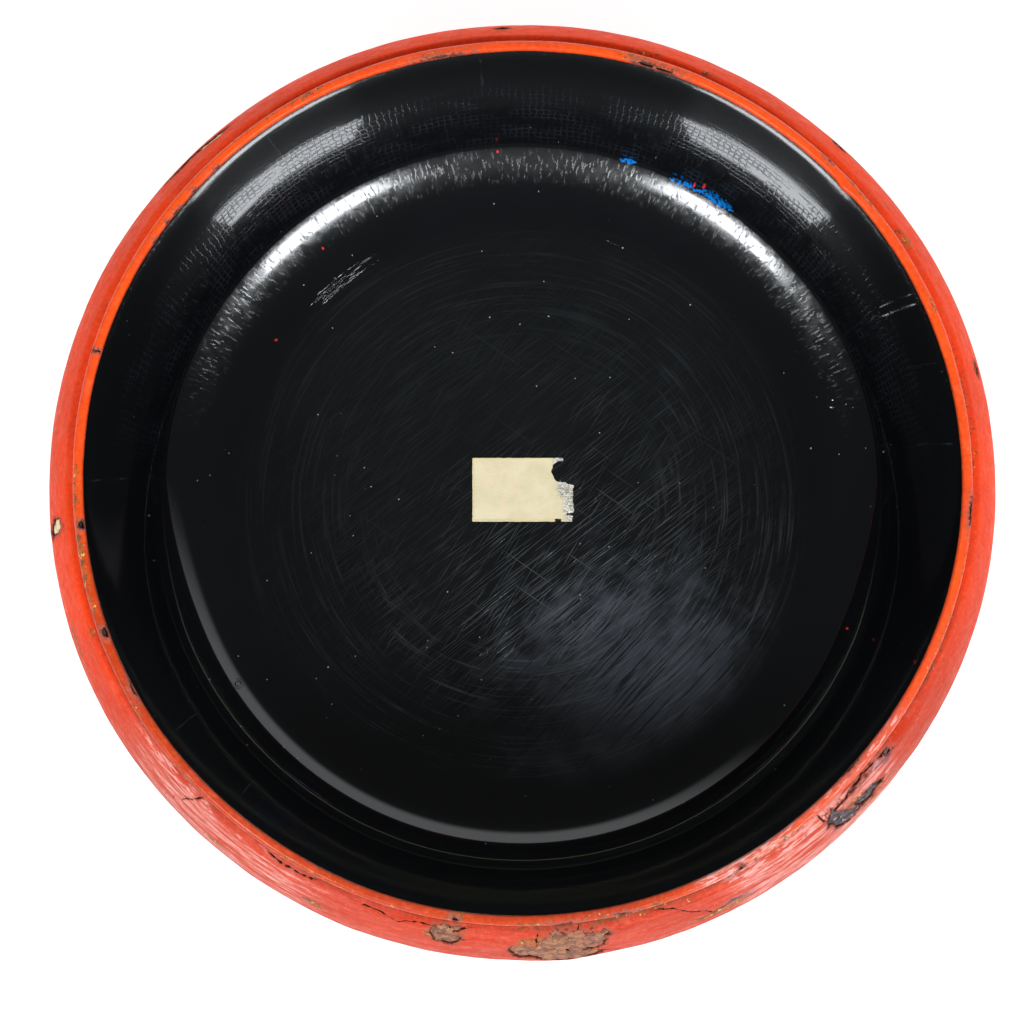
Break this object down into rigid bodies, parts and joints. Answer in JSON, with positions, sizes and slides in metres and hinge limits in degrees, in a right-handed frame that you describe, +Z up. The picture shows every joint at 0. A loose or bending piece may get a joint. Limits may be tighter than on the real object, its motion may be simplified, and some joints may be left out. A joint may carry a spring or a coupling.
{
  "type": "go stone bowl",
  "caption": "Round open lacquered bowl that holds the stones of a board game, with a raised lip, a swelling body, a coved flat floor and a low foot ring.",
  "frame": {"origin": "middle of the circle that the foot ring stands on", "axes": "+Z up along the bowl's axis, out of its mouth; +X to the right of the label, +Y towards the label's upper edge"},
  "size_m": [0.1472, 0.1472, 0.066],
  "materials": {
    "core_wood": "turned, unpolished",
    "foot_wood": "thinly lacquered, rubbed bare on its foot",
    "hemp_cloth": "plain weave stiffened with lacquer",
    "clay_ground": "matt clay and lacquer ground, crumbling where exposed",
    "body_vermilion": "vermilion lacquer, worn satin with cracks and losses",
    "lip_vermilion": "vermilion lacquer, semi-gloss, chipped along its outer edge",
    "black_lacquer": "black lacquer, high gloss with fine scratches",
    "label_paper": "matt cream paper"
  },
  "bodies": {
    "root": {"base_board": "core_wood", "wall_hoop": "core_wood", "shoulder_hoop": "core_wood", "lip_hoop": "core_wood", "foot_ring": "foot_wood", "floor_cloth": "hemp_cloth", "wall_cloth": "hemp_cloth", "outer_ground": "clay_ground", "body_lacquer": "body_vermilion", "lip_lacquer": "lip_vermilion", "inner_lacquer": "black_lacquer", "underside_lacquer": "black_lacquer", "paper_label": "label_paper"}
  },
  "joints": []
}
